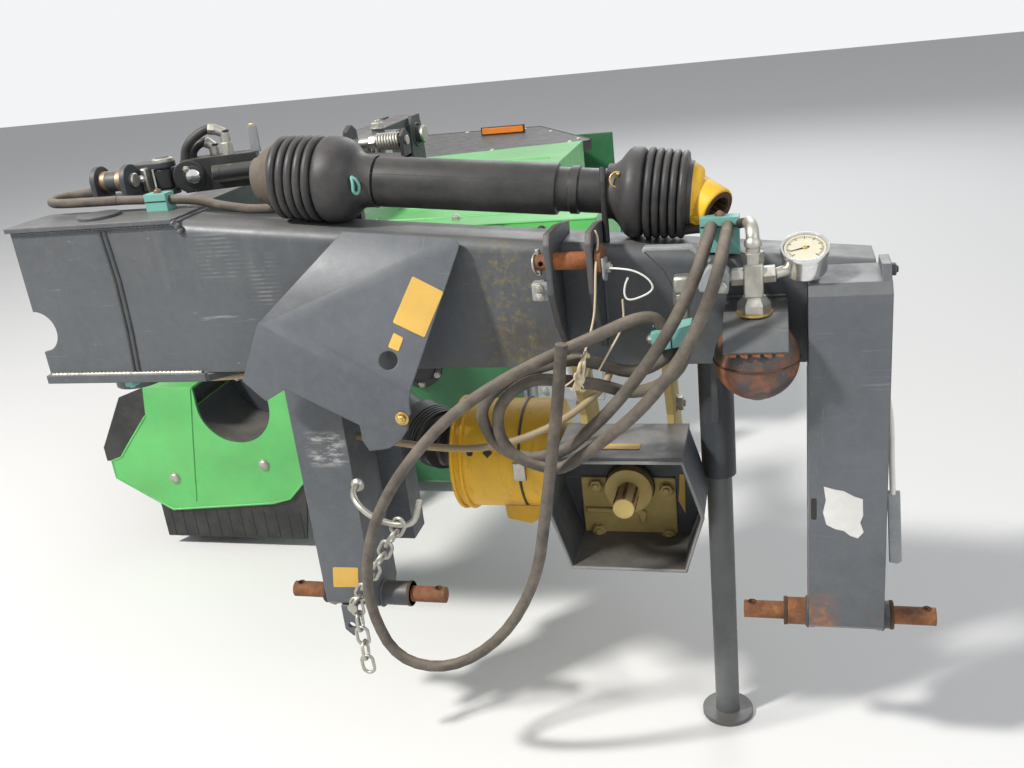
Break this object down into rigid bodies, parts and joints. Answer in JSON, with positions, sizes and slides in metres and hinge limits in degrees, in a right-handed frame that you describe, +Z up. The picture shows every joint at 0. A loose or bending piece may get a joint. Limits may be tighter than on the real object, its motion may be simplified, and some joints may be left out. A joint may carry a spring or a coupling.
{
  "type": "rear-mounted disc mower conditioner",
  "caption": "Rear-mounted disc mower conditioner, parked on its stand and skids with the mowing unit swung back behind the three-point headstock.",
  "frame": {"origin": "middle of the whole machine's base, on the ground under the parked machine", "axes": "+X to the picture's right (the tractor's left), +Y away from the tractor, +Z up"},
  "size_m": [1.9295, 2.9406, 1.1045],
  "materials": {
    "grey_paint": "satin anthracite paint, scratched and dusty",
    "green_paint": "satin light green paint and plastic, dusty",
    "yellow_guard": "yellow plastic and paint, scuffed",
    "black_plastic": "grey-dusted black plastic",
    "rubber": "dull rubber with dried dirt",
    "rusty_steel": "brown surface rust",
    "bare_steel": "zinc and bare steel, dull",
    "black_paint": "gloss black paint, dusty",
    "teal_clip": "faded teal plastic",
    "gauge": "steel case with a cream dial"
  },
  "bodies": {
    "headstock": {"headstock_beam": "grey_paint", "hinge_pin": "bare_steel", "left_leg": "grey_paint", "right_leg": "grey_paint", "left_hitch_pin": "rusty_steel", "right_hitch_pin": "rusty_steel", "top_link_bracket": "grey_paint", "top_link_pin": "rusty_steel", "guard_sheet": "grey_paint", "input_gearbox": "yellow_guard", "input_guard": "grey_paint", "driveline_guard": "yellow_guard", "driveline_shaft": "black_plastic", "accumulator": "rusty_steel", "accumulator_bracket": "grey_paint", "valve_block": "bare_steel", "pressure_gauge": "gauge", "stand_sleeve": "grey_paint", "stored_shaft_tube": "black_plastic", "stored_shaft_bells": "black_plastic", "stored_shaft_yokes": "yellow_guard", "shaft_cradle": "black_plastic", "hook_rod": "bare_steel", "safety_chain": "bare_steel", "ram_anchor": "grey_paint", "hose_clips": "teal_clip", "hose_loop": "rubber", "hose_pair": "rubber", "hose_coil": "rubber"},
    "stand": {"stand_leg": "bare_steel"},
    "boom": {"boom_arm": "grey_paint", "unit_frame": "grey_paint", "cutterbar": "grey_paint", "drive_shield": "green_paint", "shield_skirt": "rubber", "inner_gearbox": "grey_paint", "hood": "green_paint", "end_plates": "green_paint", "outer_cover": "black_plastic"},
    "rotor": {"conditioner_rotor": "bare_steel"},
    "front_guard": {"front_cover": "green_paint", "front_curtain": "rubber"},
    "inner_board": {"swath_board_inner": "grey_paint"},
    "outer_board": {"swath_board_outer": "grey_paint"},
    "barrel": {"ram_barrel": "black_paint"},
    "rod": {"ram_rod": "bare_steel"},
    "disc_body_1": {"disc_1": "bare_steel"},
    "disc_body_2": {"disc_2": "bare_steel"},
    "disc_body_3": {"disc_3": "bare_steel"},
    "disc_body_4": {"disc_4": "bare_steel"},
    "disc_body_5": {"disc_5": "bare_steel"},
    "disc_body_6": {"disc_6": "bare_steel"}
  },
  "joints": [
    {"name": "swing", "type": "hinge", "parent": "headstock", "child": "boom", "pos_m": [-0.41, -1.244, 0.84], "axis": [0, 0, 1], "range_deg": [0, 90]},
    {"name": "ram_turn", "type": "hinge", "parent": "boom", "child": "barrel", "pos_m": [-0.37, -1.079, 1.018], "axis": [0, 0, 1], "range_deg": [-86.25, 0.5]},
    {"name": "ram_stroke", "type": "slide", "parent": "barrel", "child": "rod", "axis": [0.9399, 0.3413, 0], "range_m": [-0.001, 0.2381]},
    {"name": "stand_slide", "type": "slide", "parent": "headstock", "child": "stand", "axis": [0, 0, 1], "range_m": [0, 0.14]},
    {"name": "rotor_spin", "type": "hinge", "parent": "boom", "child": "rotor", "pos_m": [-0.18, 0.459, 0.39], "axis": [0, 1, 0], "continuous": true},
    {"name": "front_guard_lift", "type": "hinge", "parent": "boom", "child": "front_guard", "pos_m": [-0.746, 0.459, 0.728], "axis": [0, 1, 0], "range_deg": [0, 95]},
    {"name": "inner_board_turn", "type": "hinge", "parent": "boom", "child": "inner_board", "pos_m": [0.108, -0.391, 0.4], "axis": [0, 0, 1], "range_deg": [0, 25]},
    {"name": "outer_board_turn", "type": "hinge", "parent": "boom", "child": "outer_board", "pos_m": [0.108, 1.339, 0.4], "axis": [0, 0, 1], "range_deg": [-25, 0]},
    {"name": "disc_1_spin", "type": "hinge", "parent": "boom", "child": "disc_body_1", "pos_m": [-0.71, -0.491, 0.11], "axis": [0, 0, 1], "continuous": true},
    {"name": "disc_2_spin", "type": "hinge", "parent": "boom", "child": "disc_body_2", "pos_m": [-0.71, -0.141, 0.11], "axis": [0, 0, 1], "continuous": true},
    {"name": "disc_3_spin", "type": "hinge", "parent": "boom", "child": "disc_body_3", "pos_m": [-0.71, 0.209, 0.11], "axis": [0, 0, 1], "continuous": true},
    {"name": "disc_4_spin", "type": "hinge", "parent": "boom", "child": "disc_body_4", "pos_m": [-0.71, 0.559, 0.11], "axis": [0, 0, 1], "continuous": true},
    {"name": "disc_5_spin", "type": "hinge", "parent": "boom", "child": "disc_body_5", "pos_m": [-0.71, 0.909, 0.11], "axis": [0, 0, 1], "continuous": true},
    {"name": "disc_6_spin", "type": "hinge", "parent": "boom", "child": "disc_body_6", "pos_m": [-0.71, 1.259, 0.11], "axis": [0, 0, 1], "continuous": true}
  ],
  "couplings": [
    {"joint": "ram_turn", "follows": "swing", "ratio": -0.9528},
    {"joint": "ram_stroke", "follows": "swing", "m_per_rad": 0.15095}
  ]
}
